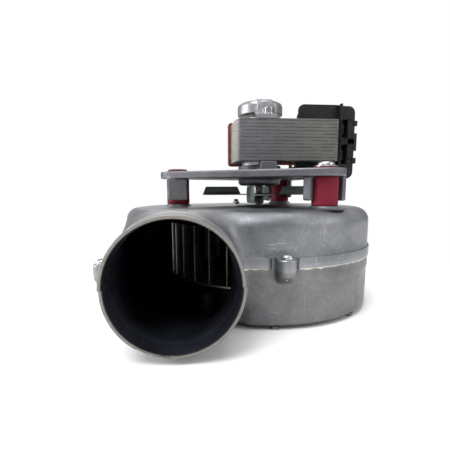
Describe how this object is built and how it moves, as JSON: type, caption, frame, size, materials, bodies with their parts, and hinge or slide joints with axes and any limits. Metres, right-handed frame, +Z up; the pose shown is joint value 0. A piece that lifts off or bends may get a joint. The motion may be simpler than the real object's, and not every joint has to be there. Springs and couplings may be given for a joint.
{
  "type": "flue gas exhaust blower",
  "caption": "Centrifugal flue-gas exhaust blower: split cast scroll with a round outlet, bladed wheel and a shaded-pole motor on rubber isolators.",
  "frame": {"origin": "shaft axis, at the underside of the scroll casting", "axes": "+Z up along the shaft, from the inlet towards the motor; -Y along the outlet, out of its mouth"},
  "size_m": [0.1663, 0.1868, 0.1288],
  "materials": {
    "cast_aluminium": "die cast, matt",
    "zinc_steel": "zinc plated",
    "dark_steel": "oxidised",
    "wheel_steel": "aluminised sheet",
    "silicone": "moulded, matt",
    "sintered_bronze": "sintered",
    "felt": "oiled felt",
    "laminations": "stamped laminations",
    "copper": "bare and enamelled copper",
    "black_plastic": "glass-filled nylon",
    "thrust_plastic": "nylon",
    "brass_terminal": "tinned brass",
    "fan_paint": "grey-green coating",
    "rotor_steel": "turned",
    "end_ring_aluminium": "die cast"
  },
  "bodies": {
    "casing": {"scroll_lower_half": "cast_aluminium", "scroll_upper_half": "cast_aluminium", "scroll_screws": "zinc_steel", "test_point_screw": "dark_steel", "isolators": "silicone", "isolator_sleeves": "zinc_steel", "isolator_screws": "dark_steel", "washer_head_screw": "zinc_steel", "motor_bracket": "cast_aluminium", "lower_bearing": "sintered_bronze", "upper_bearing": "sintered_bronze", "oil_felts": "felt", "bearing_clips": "dark_steel", "upper_bearing_bridge": "cast_aluminium", "bridge_screws": "zinc_steel", "stator_stack": "laminations", "coil_core_bar": "laminations", "shading_rings": "copper", "coil_bobbin": "black_plastic", "coil_winding": "copper", "terminal_housing": "black_plastic", "spade_terminals": "brass_terminal", "earth_tab": "brass_terminal"},
    "rotor": {"shaft": "zinc_steel", "rotor_core": "rotor_steel", "rotor_end_rings": "end_ring_aluminium", "thrust_washers": "thrust_plastic", "shaft_clips": "dark_steel", "cooling_fan": "fan_paint", "cooling_fan_bush": "dark_steel", "impeller_hub": "zinc_steel", "impeller_back_plate": "wheel_steel", "impeller_rivets": "wheel_steel", "impeller_blades": "wheel_steel", "impeller_ring": "wheel_steel", "impeller_nut": "dark_steel"}
  },
  "joints": [
    {"name": "rotor_spin", "type": "hinge", "parent": "casing", "child": "rotor", "pos_m": [0, 0, 0], "axis": [0, 0, 1], "continuous": true}
  ]
}
